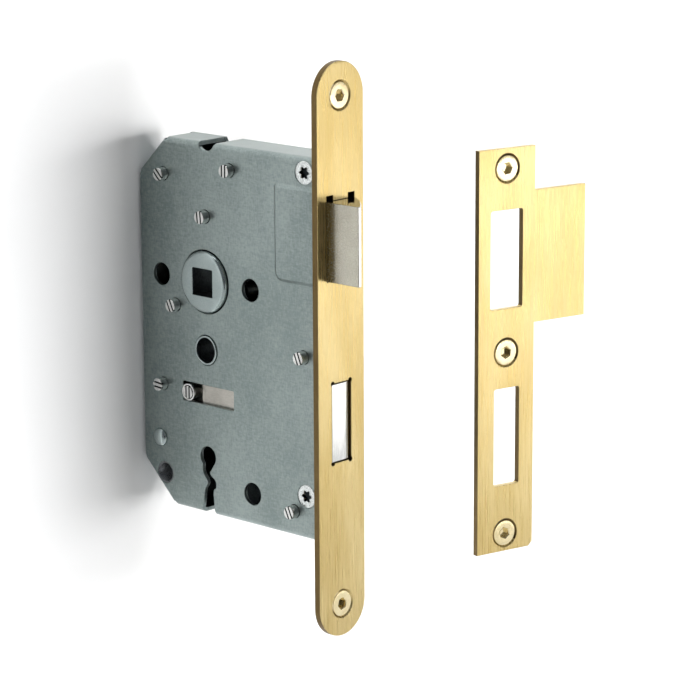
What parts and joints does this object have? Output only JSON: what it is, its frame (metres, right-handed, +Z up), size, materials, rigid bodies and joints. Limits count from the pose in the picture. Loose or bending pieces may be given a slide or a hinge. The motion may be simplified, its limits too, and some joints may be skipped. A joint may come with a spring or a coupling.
{
  "type": "mortise lock",
  "caption": "Mortise lock with sheet steel case, round-ended brass faceplate, bevelled latch, square spindle follower, key-thrown deadbolt with levers, and a lipped strike plate.",
  "frame": {"origin": "the middle of the faceplate's front face", "axes": "+X out of the faceplate, the way the latch and the deadbolt are thrown; +Z up along the faceplate; the case's pan side faces -Y"},
  "size_m": [0.1074, 0.0898, 0.174],
  "materials": {
    "zinc_steel": "zinc-plated sheet, satin, bluish grey",
    "brushed_brass": "brushed lengthways, clear lacquered",
    "screw_brass": "polished, pale",
    "latch_steel": "fine matt nickel",
    "nickel_steel": "polished nickel or zinc",
    "plain_steel": "bright zinc-plated, machined",
    "spring_steel": "oiled spring steel"
  },
  "bodies": {
    "case": {"case_pan": "zinc_steel", "case_cap": "zinc_steel", "case_screw_upper": "zinc_steel", "case_screw_lower": "zinc_steel", "faceplate": "brushed_brass", "strike_plate": "brushed_brass", "faceplate_screw_upper": "screw_brass", "faceplate_screw_lower": "screw_brass", "strike_screw_upper": "screw_brass", "strike_screw_middle": "screw_brass", "strike_screw_lower": "screw_brass", "post_top_rear": "plain_steel", "post_top_front": "plain_steel", "post_over_follower": "plain_steel", "post_follower_stop": "plain_steel", "post_front": "plain_steel", "post_rear": "plain_steel", "post_bottom_front": "plain_steel", "collar_tube": "plain_steel", "threaded_sleeve": "plain_steel", "lever_pivot": "plain_steel", "lever_spacer": "plain_steel", "spring_bracket": "plain_steel", "faceplate_lug_upper": "plain_steel", "faceplate_lug_lower": "plain_steel", "latch_spring": "spring_steel", "follower_spring": "spring_steel", "lever_spring_1": "spring_steel", "lever_spring_2": "spring_steel", "lever_spring_3": "spring_steel"},
    "follower": {"follower": "nickel_steel"},
    "latch": {"latch_head": "latch_steel", "latch_tail": "plain_steel", "latch_rivet_upper": "plain_steel", "latch_rivet_lower": "plain_steel", "latch_drive_pin": "plain_steel"},
    "deadbolt": {"deadbolt_head": "nickel_steel", "deadbolt_tail": "plain_steel", "deadbolt_rivet_upper": "plain_steel", "deadbolt_rivet_lower": "plain_steel", "guide_pin": "plain_steel", "guide_roller": "plain_steel"},
    "lever_1_body": {"lever_1": "plain_steel"},
    "lever_2_body": {"lever_2": "plain_steel"},
    "lever_3_body": {"lever_3": "plain_steel"}
  },
  "joints": [
    {"name": "latch_slide", "type": "slide", "parent": "case", "child": "latch", "axis": [-1, 0, 0], "range_m": [0, 0.0119], "stiffness_N_per_m": 150, "springref_m": -0.01, "deforming": ["latch_spring"]},
    {"name": "follower_turn", "type": "hinge", "parent": "case", "child": "follower", "pos_m": [-0.05, 0, 0.016], "axis": [0, -1, 0], "range_deg": [0, 46], "deforming": ["follower_spring"]},
    {"name": "deadbolt_slide", "type": "slide", "parent": "case", "child": "deadbolt", "axis": [1, 0, 0], "range_m": [0, 0.016]},
    {"name": "lever_1_swing", "type": "hinge", "parent": "case", "child": "lever_1_body", "pos_m": [-0.0707, 0, -0.0362], "axis": [0, -1, 0], "range_deg": [-3, 3], "stiffness_Nm_per_rad": 0.02, "springref_deg": -5.73, "deforming": ["lever_spring_1"]},
    {"name": "lever_2_swing", "type": "hinge", "parent": "case", "child": "lever_2_body", "pos_m": [-0.0707, 0, -0.0362], "axis": [0, -1, 0], "range_deg": [-3, 3], "stiffness_Nm_per_rad": 0.02, "springref_deg": -5.73, "deforming": ["lever_spring_2"]},
    {"name": "lever_3_swing", "type": "hinge", "parent": "case", "child": "lever_3_body", "pos_m": [-0.0707, 0, -0.0362], "axis": [0, -1, 0], "range_deg": [-3, 3], "stiffness_Nm_per_rad": 0.02, "springref_deg": -5.73, "deforming": ["lever_spring_3"]}
  ],
  "couplings": [
    {"joint": "follower_turn", "follows": "latch_slide", "rad_per_m": 67.46}
  ]
}
